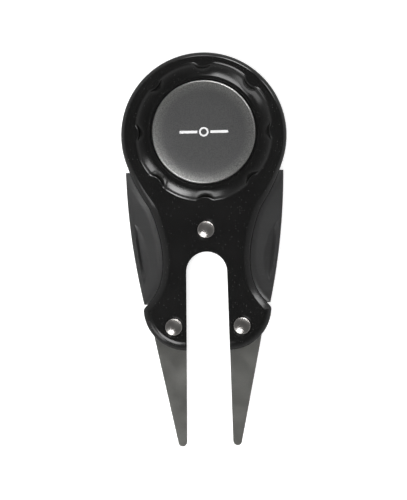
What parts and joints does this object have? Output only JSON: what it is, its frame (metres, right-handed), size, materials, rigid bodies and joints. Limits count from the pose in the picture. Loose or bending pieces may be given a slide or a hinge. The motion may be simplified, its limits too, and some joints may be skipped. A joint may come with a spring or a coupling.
{
  "type": "divot repair tool",
  "caption": "Two-pronged golf divot repair tool with a round magnetic ball marker in a scalloped head, riveted covers and side finger grips.",
  "frame": {"origin": "bottom centre of the bounding box, with the tool lying on its back", "axes": "+Z out of the front face that carries the ball marker, +Y along the tool from the prong tips to the head, +X across it"},
  "size_m": [0.0382, 0.0911, 0.0088],
  "materials": {
    "black_plastic": "gloss moulded black",
    "gunmetal_steel": "satin gunmetal plating",
    "grey_grip": "satin dark grey",
    "nickel_plate": "bright nickel",
    "magnet_plate": "nickel-plated magnet",
    "marker_steel": "grained gunmetal"
  },
  "bodies": {
    "tool": {"front_cover": "black_plastic", "rear_cover": "black_plastic", "fork_plate": "gunmetal_steel", "left_grip": "grey_grip", "right_grip": "grey_grip", "neck_rivet": "nickel_plate", "left_rivet": "nickel_plate", "right_rivet": "nickel_plate", "neck_rivet_cap": "nickel_plate", "left_rivet_cap": "nickel_plate", "right_rivet_cap": "nickel_plate", "magnet": "magnet_plate"},
    "marker": {"ball_marker": "marker_steel"}
  },
  "joints": [
    {"name": "marker_lift", "type": "slide", "parent": "tool", "child": "marker", "axis": [0, 0, 1], "range_m": [0, 0.02]}
  ]
}
